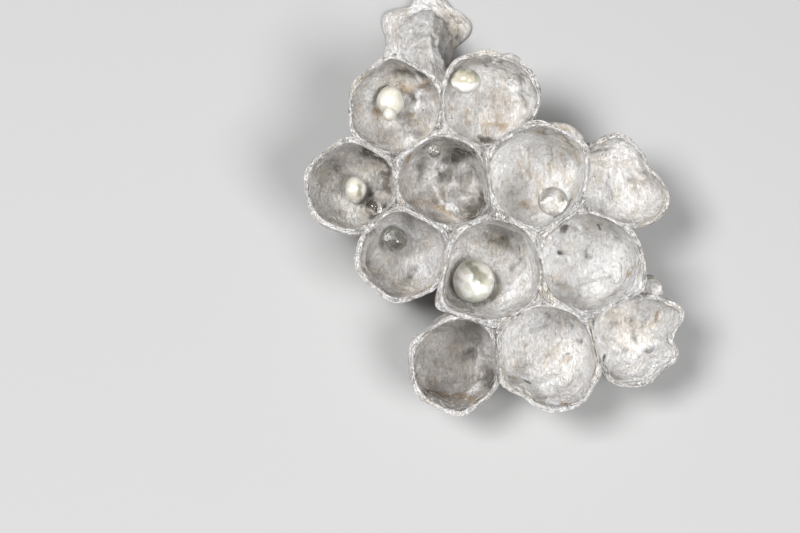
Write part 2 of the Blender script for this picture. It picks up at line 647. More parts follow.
        (398, 96, 0.16, 0, 0, 0, 0.35, 401, 108), (378, 110, 0.14, 0, 0, 0.8, 0, 382, 116),
        (380, 92, 0.13, 0, 0, 0, 0.4, 392, 87),
    ),
    "egg_top_right": (
        (466, 78, 0.9, 0, 0, 0.75, 0), (470, 72, 0.24, 0, 0, 0, 0.7, 476, 76),
        (456, 72, 0.14, 0, 0, 0, 0.4, 464, 70), (453, 82, 0.13, 0, 1.5, -0.6, 0, 466, 90),
        (466, 90, 0.14, 0, 1.5, -0.6, 0, 478, 82),
    ),
    "egg_left": (
        (354, 192, 0.9, 0, 0, 0.45, 0), (351, 189, 0.22, 0, 1.8, 0, 0),
        (358, 185, 0.13, 0, 0, 0, 0.75, 358, 196), (364, 186, 0.09, 0, 1.5, 0, -0.5, 362, 200),
        (348, 203, 0.14, 0, 1, 0.2, 0, 358, 205),
    ),
    "bead_top_left": ((389, 116, 0.6, 0, 0, 0.35, 0), (388, 115, 0.14, 0, 1.2, 0, 0),),
    "foot": (
        (408, 25, 0.4, 0.16, 0.9, 0, 0), (420, 10, 0.4, 0.14, 0.8, 0, 0), (411, 42, 0.34, 0.12, 0.9, 0, 0),
        (380, 52, 0.24, 0.1, 0.8, 0, 0, 409, 52), (448, 16, 0.4, -0.1, 0, 0, 0.3, 449, 36),
        (460, 32, 0.34, -0.1, 0, 0, 0.3, 461, 52), (436, 20, 0.3, -0.08, 0, 0.2, 0.22, 438, 50),
        (428, 24, 0.18, 0.1, 0.4, 0, 0, 430, 48), (455, 24, 0.14, 0.08, 0, 0.6, 0, 454, 50),
    ),
}

# The same for marks that are flat inside and end at their edge
CRISP_MARKS: dict[str, tuple[tuple, ...]] = {
    "left": ((376, 209, 0.46, -0.14, 0, 0, 1.15),),
    "low_right": ((570, 243, 0.6, 0.44, 1.5, 0, -0.2), (584, 291, 0.25, 0.34, 1.6, 0, -0.3, 611, 286),),
    "bottom": ((551, 401, 0.2, 0.18, 1.3, 0, 0, 568, 396),),
}


def marked(name: str, comb: Array, base: Array) -> Array:
    """What all the marks of one piece add at each of its points.

    Args:
        name: the piece's name in the tables of marks.
        comb: each point in the comb's frame, which says where the photograph shows it.
        base: each point in the frame that the noise runs in.

    Returns:
        Four grids: height, pale, tan and dark.
    """
    place = seen_at(comb)
    sway = np.stack([layered_noise(base, SWAY_LENGTH, 2, SWAY_SEED + axis) for axis in range(2)], axis=-1)
    rough = layered_noise(base, ROUGH_LENGTH, 3, ROUGH_SEED)
    total = np.zeros((4, *base.shape[:-1]))
    for edge, table in ((Edge.SOFT, SOFT_MARKS), (Edge.CRISP, CRISP_MARKS)):
        for row in table.get(name, ()):
            mark = Mark(*row)
            total += mark.adds()[:, None, None] * mark.share(place, sway, rough, edge)
    return total


def tones_of(pale: Array, tan: Array, dark: Array) -> Array:
    """The tone attribute's rows: how pale, tan and dark a point is, and 1."""
    return np.clip(np.stack([pale, tan, dark, np.ones_like(pale)], axis=-1), 0.0, MOST_TONE)


@dataclass(frozen=True)
class Weave:
    """The patterns of a cell's paper, each with one value a point."""

    lumps: Array
    flutes: Array
    courses: Array
    crests: Array
    creases: Array
    crumple: Array

    @classmethod
    def on(cls, base: Array, seed: int) -> "Weave":
        """Work out the patterns: slow lumps, upright flutes, courses of pulp, crests, creases and crumples.

        Args:
            base: points in the comb's frame.
            seed: the cell's seed.

        Returns:
            The patterns.
        """
        lumps = layered_noise(base, 1.5, 4, seed + 1)
        flutes = layered_noise(base * np.array(FLUTE_STRETCH), 0.8, 3, seed + 5)
        bent = base[..., 2] + 0.35 * smooth_noise(base, 2.1, seed + 7)
        courses = np.sin(bent * 2.0 * math.pi / COURSE_PITCH + 2.0 * smooth_noise(base, 1.2, seed + 8))
        crests = ridged_noise(base, 0.9, 3, seed + 9)
        creases = ridged_noise(base + 0.4 * lumps[..., None], 1.4, 3, seed + 21)
        crumple = ridged_noise(base + 0.25 * flutes[..., None], 0.62, 2, seed + 25)
        return cls(lumps, flutes, courses, crests, creases, crumple)


@dataclass
class PaperShell:
    """One cell of paper as a closed body: up the inside, over the lip and down the outside.

    Rows run from the middle of the inner floor to the middle of the outer bottom, columns once round.
    """

    name: str
    columns: int = 184
    floor_rows: int = 31
    side_rows: int = 48
    lip_rows: int = 9
    outer_rows: int = 16
    bottom_rows: int = 10
    sheet: float = 0.10
    free_inside: float = -0.12
    free_outside: float = 0.05
    lip_height: float = 0.07
    rim_wave: float = 0.38
    rim_fray: float = 0.11
    rim_noise_level: float = 7.3
    outer_shared: float = 0.03
    outer_sharpness: float = 34.0
    outer_softness: float = 9.0
    sag_start: float = 0.3
    sag_share: float = 0.35
    lump_height: float = 0.085
    flute_height: float = 0.050
    course_height: float = 0.010
    crest_height: float = 0.08
    crease_depth: float = 0.06
    crumple_height: float = 0.055
    floor_lump_height: float = 0.10
    full_depth: float = 2.6
    cord_place: float = 0.35 * 0.17
    cord_width: float = 0.045
    cord_height: float = 0.05
    deepest_pit: float = -0.30
    deepest_dent: float = -0.05
    outer_range: tuple = (-0.03, 0.10)

    def __post_init__(self) -> None:
        """Work out the shell's points and tones."""
        self.plan = CELLS[self.name]
        self.walls = Walls.around(self.name)
        self.seed = 100 + 10 * list(CELLS).index(self.name)
        self.turns = round_turns(self.columns)
        self.lip_start = self.floor_rows + self.side_rows
        self.lip_end = self.lip_start + self.lip_rows
        base, depth = self.plain_rows()
        base = grown(base)
        normals = grid_normals(base)
        height, tones = self.relief(base, depth)
        self.grid = base + normals * height[..., None]
        self.normals = grid_normals(self.grid)
        self.tones = tones

    def rim_level(self, radius: Array) -> Array:
        """Level of the rim round the cell: its own level, a slow wave and a frayed edge."""
        line = self.placed(radius, np.full(self.columns, self.rim_noise_level))
        wave = self.rim_wave * smooth_noise(line, 1.9, 12)
        fray = self.rim_fray * layered_noise(line, 0.55, 3, self.seed)
        return self.plan.rim + wave + fray

    def placed(self, radius: Array, level: Array) -> Array:
        """Points of the comb's frame from their distances from the cell's middle and their levels."""
        u = self.plan.u + radius * np.cos(self.turns)
        v = self.plan.v + radius * np.sin(self.turns)
        return np.stack([u, v, level], axis=-1)

    def plain_rows(self) -> tuple[Array, Array]:
        """The smooth shell before its relief.

        The floor is a dome whose radius is a power of the sine of its swing, the sides climb to the rim, the
        lip is an arch between the inner and the outer outline, and the outside goes down the same way.

        Returns:
            The grid of points, and each point's depth under the rim.
        """
        low = self.plan.floor + FLOOR_PAPER + self.plan.heap
        dome_top, outer_top = low + DOME_HEIGHT, self.plan.floor + DOME_HEIGHT
        inner = self.walls.outline(self.turns, -self.sheet, self.free_inside)
        outer = self.walls.outline(
            self.turns, self.outer_shared, self.free_outside, self.outer_sharpness, self.outer_softness
        )
        self.widths = outer - inner
        rim = self.rim_level(inner)
        drop = self.sag_share * np.maximum(self.widths - self.sag_start, 0.0)
        swing = np.linspace(0.0, math.pi / 2.0, self.floor_rows, endpoint=False)[:, None]
        climb = np.linspace(0.0, 1.0, self.side_rows)[:, None]
        arch = np.linspace(0.0, 1.0, self.lip_rows + 2)[1:-1][:, None]
        fall = np.linspace(0.0, 1.0, self.outer_rows)[:, None]
        back = np.linspace(math.pi / 2.0, 0.0, self.bottom_rows)[1:][:, None]
        swell = np.sin(np.minimum(arch * 1.25, 1.0) * math.pi) ** 0.7
        edge = rim - drop
        radius = [
            np.sin(swing) ** DOME_SHARE * inner,
            np.ones_like(climb) * inner,
            inner + self.widths * arch,
            np.ones_like(fall) * outer,
            np.maximum(np.sin(back), 0.0) ** DOME_SHARE * outer,
        ]
        whole = np.ones(self.columns)
        level = [
            (low + DOME_HEIGHT * (1.0 - np.cos(swing))) * whole,
            dome_top + climb * (rim - dome_top),
            rim + self.lip_height * swell - drop * arch**1.5,
            edge + fall * (outer_top - edge),
            (self.plan.floor + DOME_HEIGHT * (1.0 - np.cos(back))) * whole,
        ]
        levels = np.concatenate(level)
        return self.placed(np.concatenate(radius), levels), rim - levels

    def relief(self, base: Array, depth: Array) -> tuple[Array, Array]:
        """Lumps, flutes, pulp courses, pits and marks, with the tones that go with them.

        Args:
            base: the smooth grid.
            depth: each point's depth under the rim.

        Returns:
            How far each point stands off the smooth grid, and its (pale, tan, dark, 1) tone.
        """
        weave = Weave.on(base, self.seed)
        rows = np.arange(base.shape[0])[:, None] * np.ones(self.columns)
        inside = rows < self.lip_start
        floor_share = within_one((self.floor_rows - rows) / self.floor_rows)
        height = self.body_height(weave, base, floor_share)
        pale, tan, dark = self.body_tones(weave, base, depth, inside)
        added = marked(self.name, base, base) * inside
        height, pale, tan, dark = height + added[0], pale + added[1], tan + added[2], dark + added[3]
        on_lip = (rows >= self.lip_start) & (rows < self.lip_end)
        across = (rows - self.lip_start + 1.0) / (self.lip_rows + 1.0)
        width = np.maximum(self.widths, 0.05)
        cord = np.exp(-(((across - self.cord_place / width) * width / self.cord_width) ** 2))
        broken = within_one(0.75 + 1.1 * layered_noise(base, 0.5, 3, self.seed + 31))
        speck = layered_noise(base, 0.10, 2, self.seed + 33)
        pale = np.where(on_lip, 0.12 + 1.5 * cord * broken + 0.6 * np.maximum(speck, 0.0), pale)
        dark = np.where(on_lip, 1.30 * within_one(-speck - 0.08) * (1.0 - 0.8 * cord), dark)
        tan = np.where(on_lip, tan * 0.6 + 0.12, tan)
        height = height + on_lip * (0.030 * speck + self.cord_height * cord * broken)
        height *= np.clip((depth - 0.05) / 0.5, 0.25, 1.0)
        height = np.maximum(height, np.where(floor_share > 0.15, self.deepest_pit, self.deepest_dent))
        height = np.where(inside, height, np.clip(height, *self.outer_range))
        height[0] = height[1].mean()
        height[-1] = height[-2].mean()
        return height, tones_of(pale, tan, dark)

    def body_height(self, weave: Weave, base: Array, floor_share: Array) -> Array:
        """How far the patterns lift the paper, before its marks and its lip, in millimetres.

        Args:
            weave: the patterns.
            base: the smooth grid.
            floor_share: 1 in the middle of the cell's floor and 0 off it.

        Returns:
            Heights in millimetres.
        """
        height = self.lump_height * weave.lumps + self.flute_height * weave.flutes
        height = height + self.course_height * weave.courses + self.crest_height * weave.crests
        height = height - self.crease_depth * weave.creases + self.crumple_height * weave.crumple
        return height + floor_share * self.floor_lump_height * layered_noise(base, 1.1, 2, self.seed + 11)

    def body_tones(
        self, weave: Weave, base: Array, depth: Array, inside: Array
    ) -> tuple[Array, Array, Array]:
        """Pale crests, tan patches and dark hollows of the paper, before its marks and its lip.

        Args:
            weave: the patterns.
            base: the smooth grid.
            depth: each point's depth under the rim.
            inside: whether a point is inside the cell.

        Returns:
            How pale, tan and dark each point is.
        """
        grime = self.plan.grime
        deep = within_one(depth / self.full_depth)
        pale = -0.06 + 0.42 * deep + 0.80 * weave.lumps + 0.60 * weave.crests
        pale = pale + 0.35 * weave.crumple - 0.40 * weave.creases - 1.1 * grime
        pale = np.where(inside, pale, 0.20 + 0.45 * weave.lumps + 0.25 * weave.crests)
        patch = smooth_noise(base, 1.3, self.seed + 13) + 0.5 * smooth_noise(base, 0.5, self.seed + 14)
        dark = within_one(-weave.lumps - 0.35) * 0.35 + within_one(-weave.flutes - 0.45) * 0.3
        dark = dark + inside * max(grime, 0.0) * (0.55 + 0.5 * deep) + 0.25 * weave.creases * deep
        return pale, within_one(patch - 0.35) * 0.55, dark

    def build(self) -> Thing:
        """Put the shell in a mesh."""
        return closed_body("cell_" + self.name, leaned(self.grid), self.tones)

    def sample(self, row: Array, column: Array) -> tuple[Array, Array]:
        """Points and normals at broken row and column numbers, blended from the four grid points around.

        Args:
            row: row numbers.
            column: column numbers, which wrap round.

        Returns:
            Points and unit normals.
        """
        row = np.clip(row, 1.0, self.grid.shape[0] - 2.001)
        low_row = np.floor(row).astype(int)
        low_column = np.floor(column).astype(int)
        part_row = (row - low_row)[..., None]
        part_column = (column - low_column)[..., None]
        here = low_column % self.columns
        after = (low_column + 1) % self.columns

        def along_row(values: Array, line: Array) -> Array:
            """Blend one grid of values between two columns of a row."""
            return values[line, here] * (1.0 - part_column) + values[line, after] * part_column

        def blend(values: Array) -> Array:
            """Blend one grid of values at the broken places."""
            first, second = along_row(values, low_row), along_row(values, low_row + 1)
            return first * (1.0 - part_row) + second * part_row

        return blend(self.grid), blend(self.normals)


@dataclass
class Fibres:
    """Plant fibres that lie on the paper, as thin three-sided rods whose ends come to a point."""

    rim_count: int = 270
    cord_count: int = 18
    wall_count: int = 130
    outer_count: int = 60
    stray_count: int = 14
    mat_count: int = 230
    knots: int = 7
    seed: int = 5

    def paths(
        self, shell: PaperShell, side: Side, count: int, rng: np.random.Generator
    ) -> tuple[Array, Array]:
        """Walks of many fibres over a shell, as row and column numbers with slow random turns.

        Args:
            shell: the cell that the fibres lie on.
            side: which part of the shell they start on.
            count: how many there are.
            rng: the source of chance.

        Returns:
            Row numbers and column numbers, one row a fibre and one column a knot.
        """
        step = np.linspace(0.0, 1.0, self.knots)[None, :]
        start = rng.uniform(0.0, shell.columns, (count, 1))
        if side is Side.CORD:
            centre = rng.normal(shell.lip_start + 3.6, 0.8, (count, 1))
            span = rng.uniform(18.0, 60.0, (count, 1))
            climb = rng.normal(0.0, 0.8, (count, 1))
        elif side is Side.RIM:
            centre = rng.normal(shell.lip_start + 2.0, 4.0, (count, 1))
            span = rng.choice([-1.0, 1.0], (count, 1)) * rng.uniform(2.0, 11.0, (count, 1))
            climb = rng.normal(0.0, 4.0, (count, 1))
        elif side is Side.MAT:
            wide = np.maximum(shell.widths - 0.28, 0.0) * shell.walls.near_shared(shell.turns) + 0.004
            start = rng.choice(shell.columns, (count, 1), p=wide / wide.sum())
            start = start + rng.uniform(0.0, 1.0, (count, 1))
            centre = rng.uniform(shell.lip_start - 1.0, shell.lip_end, (count, 1))
            turn = rng.uniform(0.0, math.pi, (count, 1))
            long = rng.uniform(4.0, 11.0, (count, 1))
            span = long * np.cos(turn)
            climb = long * np.sin(turn) * 1.2
            start = start - span / 2.0
        elif side is Side.INNER:
            centre = rng.uniform(shell.floor_rows * 0.4, shell.lip_start - 2.0, (count, 1))
            span = rng.normal(0.0, 7.0, (count, 1))
            climb = rng.normal(0.0, 6.0, (count, 1))
        else:
            centre = rng.uniform(shell.lip_end, shell.lip_end + shell.outer_rows, (count, 1))
            span = rng.normal(0.0, 22.0, (count, 1))
            climb = rng.normal(0.0, 5.0, (count, 1))
        phase = rng.uniform(0.0, 2.0 * math.pi, (count, 2))
        sway = np.sin(step * rng.uniform(3.0, 8.0, (count, 1)) + phase[:, :1])
        loose = {Side.CORD: 0.35, Side.MAT: 0.25}.get(side, 1.5)
        row = centre + climb * (step - 0.5) + loose * sway
        column = start + span * step + loose * np.sin(step * 5.0 + phase[:, 1:])
        return row, column

    def rods(self, spine: Array, normal: Array, thick: Array) -> tuple[Array, Array]:
        """Rods along many spines: three points round each knot, thin at both ends.

        Args:
            spine: fibre by knot by (U, V, W).
            normal: the surface's normal at each knot.
            thick: each fibre's half thickness.

        Returns:
            The points in one list and the triangles.
        """
        run = unit_vectors(np.gradient(spine, axis=1))
        aside = unit_vectors(np.cross(run, normal))
        over = np.cross(aside, run)
        step = np.linspace(0.0, 1.0, spine.shape[1])
        taper = 0.18 + 0.82 * np.sin(math.pi * step) ** 0.5
        girth = thick[:, None, None] * taper[None, :, None]
        ring = [
            spine + girth * (math.cos(turn) * aside + math.sin(turn) * over)
            for turn in round_turns(3) + math.pi / 2.0
        ]
        points = np.stack(ring, axis=2)
        fibre, knots = spine.shape[0], spine.shape[1]
        number = np.arange(fibre * knots * 3).reshape(fibre, knots, 3)
        here, there = number[:, :-1], number[:, 1:]
        here_next, there_next = np.roll(here, -1, axis=2), np.roll(there, -1, axis=2)
        first = np.stack([here, here_next, there_next], axis=-1).reshape(-1, 3)
        second = np.stack([here, there_next, there], axis=-1).reshape(-1, 3)
        start_cap = number[:, 0, ::-1]
        end_cap = number[:, -1, :]
        return points.reshape(-1, 3), np.concatenate([first, second, start_cap, end_cap])

    def on_shell(self, shell: PaperShell, side: Side, count: int, lift: float) -> tuple[Array, Array, Array]:
        """Fibres of one shell and side.

        Args:
            shell: the cell.
            side: the part of the shell.
            count: how many fibres.
            lift: how far a fibre's loose end may stand off the paper.

        Returns:
            Points, triangles and tones.
        """
        rng = np.random.default_rng(self.seed + shell.seed * 7 + list(Side).index(side) + int(lift * 100))
        row, column = self.paths(shell, side, count, rng)
        spine, normal = shell.sample(row, column)
        step = np.linspace(0.0, 1.0, self.knots)[None, :]
        loose = rng.uniform(0.0, lift, (count, 1)) * step**2
        wander = rng.normal(0.0, 0.5, (count, 1, 3)) * loose[..., None]
        thick = rng.uniform(0.008, 0.020, count) * (1.35 if side is Side.CORD else 1.0)
        spine = spine + normal * (thick[:, None, None] * 0.5 + loose[..., None]) + wander
        points, triangles = self.rods(spine, normal, thick)
        tone = np.zeros((count, 4))
        tone[:, 0] = rng.uniform(0.0, 1.5, count) + (0.35 if side is Side.CORD else 0.0)
        tone[:, 1] = np.where(rng.random(count) < 0.16, rng.uniform(0.3, 0.7, count), 0.0)
        dark_part = 0.10 if side is Side.INNER else 0.38
        tone[:, 2] = np.where(rng.random(count) < dark_part, rng.uniform(0.4, 1.0, count), 0.0)
        tone[:, 3] = 1.0
        return points, triangles, np.repeat(tone, self.knots * 3, axis=0)

    def gather(self, name: str, batches: list[tuple[Array, Array, Array]]) -> Thing:
        """Join batches of fibres in one mesh.

        Args:
            name: the object's name.
            batches: points, triangles and tones of each batch.

        Returns:
            The object.
        """
        points, triangles, tones = zip(*batches)
        offsets = np.cumsum([0] + [len(block) for block in points[:-1]])
        faces = np.concatenate([block + offset for block, offset in zip(triangles, offsets)])
        return make_mesh(name, leaned(np.concatenate(points)), [faces], np.concatenate(tones))

    def build(self, shells: dict[str, PaperShell]) -> list[Thing]:
        """All the fibres of the comb in three meshes.

        Args:
            shells: the cells by name.

        Returns:
            The rim fibres, the wall fibres and the mats where cells meet.
        """
        rims, sides, mats = [], [], []
        for shell in shells.values():
            rims.append(self.on_shell(shell, Side.RIM, self.rim_count, 0.02))
            rims.append(self.on_shell(shell, Side.CORD, self.cord_count, 0.01))
            mats.append(self.on_shell(shell, Side.MAT, self.mat_count, 0.05))
            sides.append(self.on_shell(shell, Side.RIM, self.stray_count, 0.14))
            sides.append(self.on_shell(shell, Side.INNER, self.wall_count, 0.02))
            sides.append(self.on_shell(shell, Side.OUTER, self.outer_count, 0.05))
        named = {"rim_fibres": rims, "wall_fibres": sides, "junction_fibres": mats}
        return [self.gather(name, batches) for name, batches in named.items()]


@dataclass
class Stalk:
    """The stalk and its foot, cut off flat where it was stuck to the wall. Places are in the nest's frame."""

    top: tuple = (-3.26, 3.83, 5.6)
    middle: tuple = (-3.51, 7.03, 4.3)
    end: tuple = (-3.61, 9.83, 0.5)
    radii: tuple = (1.4, 0.85, 1.4)
    foot_centre: tuple = (-3.56, 10.06)
    foot_radius: float = 2.4
    foot_height: float = 1.15
    lobes: int = 5
    rings: int = 84
    under_rings: int = 12
    columns: int = 108
    least_level: float = 0.02
    seed: int = 300

    def spine(self, share: Array) -> Array:
        """A smooth arc through the three places: a quadratic whose middle passes through the middle place."""
        start, through, end = (np.array(place) for place in (self.top, self.middle, self.end))
        handle = 2.0 * through - 0.5 * (start + end)
        share = share[:, None]
        return (1.0 - share) ** 2 * start + 2.0 * share * (1.0 - share) * handle + share**2 * end

    def stem(self) -> Thing:
        """The stem: rings carried along the arc, drawn in half way, with lengthwise cords of fibre.

        Returns:
            The stem's object.
        """
        share = np.linspace(0.0, 1.0, self.rings)
        line = self.spine(share)
        aside = np.array([1.0, 0.0, 0.0])
        over = unit_vectors(np.cross(unit_vectors(np.gradient(line, axis=0)), aside))
        turns = round_turns(self.columns)
        width = np.interp(share, [0.0, 0.5, 1.0], self.radii)
        width = width * within_one(np.sin(math.pi * np.clip(share * 12.0, 0.0, 0.5)))
        around = np.cos(turns)[None, :, None] * over[:, None, :] + np.sin(turns)[None, :, None] * aside
        grid = line[:, None, :] + width[:, None, None] * around
        cords = np.stack(
            np.broadcast_arrays(np.cos(turns) * 3.0, np.sin(turns) * 3.0, 0.4 * line[:, 1:2]), axis=-1
        )
        lift = 0.16 * layered_noise(cords, 0.9, 3, self.seed + 1)
        lift = lift + 0.10 * layered_noise(grid, 0.7, 3, self.seed + 2)
        grid = grid + around * lift[..., None] * within_one(width)[:, None, None]
        grid = self.under_floors(grid)
        grid[..., 2] = np.maximum(grid[..., 2], self.least_level)
        return closed_body("stalk", grid * MM, self.tones(grid, lift))

    @staticmethod
    def under_floors(grid: Array) -> Array:
        """Points kept inside the paper of the cell bottoms, so that the stem doesn't come up in a cell.

        Args:
            grid: points of the stem in the nest's frame.

        Returns:
            The points, lowered where they would stand in a cell.
        """
        comb = upright(grid * MM)
        spread = 1.0 + SPLAY * comb[..., 2] / abs(BASE_LEVEL)
        for name, cell in CELLS.items():
            u = SPLAY_CENTRE[0] + (comb[..., 0] - SPLAY_CENTRE[0]) / spread - cell.u
            v = SPLAY_CENTRE[1] + (comb[..., 1] - SPLAY_CENTRE[1]) / spread - cell.v
            reach = Walls.around(name).reach_of(u, v, -0.05, -0.05)
            share = np.hypot(u, v) / reach
            swing = np.arcsin(np.minimum(share, 1.0) ** (1.0 / DOME_SHARE))
            bottom = cell.floor + 0.16 + DOME_HEIGHT * (1.0 - np.cos(swing))
            comb[..., 2] = np.where(share < 1.0, np.minimum(comb[..., 2], bottom), comb[..., 2])
        return leaned(comb) / MM

    def foot(self) -> Thing:
        """The foot: a lobed pad of pulp smeared out from the stem, flat underneath.

        Returns:
            The foot's object.
        """
        turns = round_turns(self.columns)
        lobes = 1.0 + 0.12 * np.sin(self.lobes * turns + 0.7) + 0.08 * np.sin(2.0 * turns)
        over = np.linspace(0.0, 1.0, self.rings - self.under_rings)
        under = np.linspace(1.0, 0.0, self.under_rings)
        part = np.concatenate([over, under])[:, None]
        top = self.foot_height * np.maximum(1.0 - over**2, 0.0) ** 0.5
        level = np.concatenate([top, np.zeros(self.under_rings)])[:, None] * np.ones(self.columns)
        x = self.foot_centre[0] + self.foot_radius * lobes * part * np.cos(turns)
        y = self.foot_centre[1] + self.foot_radius * lobes * part * np.sin(turns)
        grid = np.stack([x, y, level], axis=-1)
        spread = np.stack(np.broadcast_arrays(np.cos(turns) * 2.2, np.sin(turns) * 2.2, part), axis=-1)
        rays = ridged_noise(spread * np.array([1.0, 1.0, 0.5]), 0.9, 2, self.seed + 11)
        lift = 0.16 * layered_noise(grid, 0.9, 4, self.seed + 12) + 0.16 * rays
        lift += marked("foot", upright(grid * MM), grid)[0]
        grid[: len(over), :, 2] += (lift * within_one(level / 0.5))[: len(over)]
        grid[..., 2] = np.maximum(grid[..., 2], 0.0)
        return closed_body("foot", grid[::-1] * MM, self.tones(grid, lift)[::-1])

    def tones(self, grid: Array, lift: Array) -> Array:
        """Pale crests, tan patches and dark hollows of the stem and the foot."""
        pale = within_one(lift * 4.0) + 0.3 * within_one(smooth_noise(grid, 1.1, self.seed + 21))
        tan = 0.5 * within_one(smooth_noise(grid, 0.9, self.seed + 22) - 0.1)
        dark = within_one(-lift * 4.0) * 0.5 + 0.20 * within_one(smooth_noise(grid, 1.7, self.seed + 23))
        _, more_pale, more_tan, more_dark = marked("foot", upright(grid * MM), grid)
        return tones_of(pale + more_pale, tan + more_tan, dark + more_dark)

    def build(self) -> list[Thing]:
        """The stem and the foot."""
        return [self.stem(), self.foot()]


# Lumps of pulp on the outside of the comb: middle, half sizes and how tan
LUMPS: dict[str, tuple] = {
    "right": ((3.48, 4.56, -1.46), (1.24, 1.18, 0.80), 0.9),
    "left": ((-7.10, 4.90, -2.60), (0.60, 0.45, 0.70), 0.2),
    "low_right": ((7.98, -3.10, -2.00), (0.92, 0.78, 0.80), 0.65),
    "top_left": ((-5.60, 9.05, -2.60), (1.00, 0.45, 0.60), 0.1),
    "top_right": ((0.60, 9.20, -3.00), (0.90, 0.40, 0.90), 0.1),
}


@dataclass
class PulpLumps:
    """The lumps, creased by noise and kept out of the cells."""

    columns: int = 64
    rings: int = 40
    first_seed: int = 400

    @staticmethod
    def outside_cells(points: Array) -> Array:
        """Points moved straight out from the middle of a cell to the middle of its wall, where in it.

        Args:
            points: places in the comb's frame before its growth.

        Returns:
            The points, none of them inside a cell.
        """
        kept = points.copy()
        for name, cell in CELLS.items():
            u, v = kept[..., 0] - cell.u, kept[..., 1] - cell.v
            away = np.maximum(np.hypot(u, v), 1e-6)
            wall = Walls.around(name).reach_of(u, v, -0.04, -0.05)
            factor = np.maximum(wall / away, 1.0)
            kept[..., 0] = cell.u + u * factor
            kept[..., 1] = cell.v + v * factor
        return kept

    def build(self) -> list[Thing]:
        """Balls pressed and creased by noise that runs round them in folds, and kept out of the cells.

        Returns:
            One object for each lump.
        """
        made = []
        ball = unit_ball(self.rings, self.columns)
        for index, (name, (middle, half, stain)) in enumerate(LUMPS.items()):
            seed = self.first_seed + 10 * index
            base = np.array(middle) + ball * np.array(half)
            folds = layered_noise(base * np.array([1.0, 1.0, 0.5]), 0.7, 4, seed)
            crests = ridged_noise(base, 0.6, 2, seed + 5)
            grid = base + ball * (0.11 * folds + 0.09 * crests - 0.05)[..., None]
            grid = grown(self.outside_cells(grid))
            pale = 0.30 + 0.5 * folds + 0.4 * crests - 0.5 * stain
            tan = stain * within_one(smooth_noise(base, 0.6, seed + 7) + 0.45)
            dark = 0.6 * within_one(-folds - 0.1) + 0.12 * stain
            made.append(closed_body("lump_" + name, leaned(grid), tones_of(pale, tan, dark)))
        return made


@dataclass(frozen=True)
class Orb:
    """A round piece that replaces one of the frame's balls: an egg or a drop.

    Its middle and half sizes are read from the frame, and waves along it make it less than perfect.
    """

    node: str
    uneven: float
    columns: int = 56
    rings: int = 36
    edge_depth: float = 0.2

    def build(self) -> Thing:
        """A closed ball that fills the box of the frame's piece, with its marks as tones.

        Returns:
            The ball's object.
        """
        low, high = (np.array(corner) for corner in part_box(self.node))
        unit = unit_ball(self.rings, self.columns)
        seed = sum(map(ord, self.node))
        grid = unit * (1.0 + self.uneven * layered_noise(unit, 1.1, 2, seed))[..., None]
        least, most = grid.min(axis=(0, 1)), grid.max(axis=(0, 1))
        grid = low + (grid - least) / (most - least) * (high - low)
        comb = upright(grid)
        upper = within_one((comb[..., 2] - comb[..., 2].mean()) / self.edge_depth + 0.5)
        _, pale, tan, dark = marked(self.node, comb, comb) * upper
        return closed_body(self.node + "_dressed", grid[::-1], tones_of(pale, tan, dark)[::-1])


class Signal:
    """A shader socket that takes part in arithmetic: each operation adds the Math node that does it."""

    def __init__(self, bench: "Bench", socket: bpy.types.NodeSocket) -> None:
        """Wrap a socket of a node on the bench."""
        self.bench = bench
        self.socket = socket

    def joined(self, operation: str, first: object, second: object) -> "Signal":
        """One Math node on two values or signals."""
        settings = {"operation": operation}
        return self.bench.node("ShaderNodeMath", settings, {0: first, 1: second}).out(0)

    def __add__(self, other: object) -> "Signal":
        """This plus another."""
        return self.joined("ADD", self, other)

    __radd__ = __add__

    def __mul__(self, other: object) -> "Signal":
        """This times another."""
        return self.joined("MULTIPLY", self, other)

    __rmul__ = __mul__

    def __sub__(self, other: object) -> "Signal":
        """This less another."""
        return self.joined("SUBTRACT", self, other)

    def __rsub__(self, other: object) -> "Signal":
        """Another less this."""
        return self.joined("SUBTRACT", other, self)

    def size(self) -> "Signal":
        """This without its sign."""
        return self.joined("ABSOLUTE", self, 0.0)

    def within(self, low: float, high: float) -> "Signal":
        """A smooth step: 0 under low and 1 over high, the other way round if low is the larger."""
        settings = {"interpolation_type": "SMOOTHSTEP"}
        inputs = {"Value": self, "From Min": low, "From Max": high, "To Min": 0.0, "To Max": 1.0}
        return self.bench.node("ShaderNodeMapRange", settings, inputs).out(0)


class Node:
    """A node on the bench, with its outputs as signals."""

    def __init__(self, bench: "Bench", node: bpy.types.Node) -> None:
        """Keep the node and its bench."""
        self.bench = bench
        self.node = node

    def out(self, key: int | str) -> Signal:
        """One output, by number or name."""
        return Signal(self.bench, self.node.outputs[key])


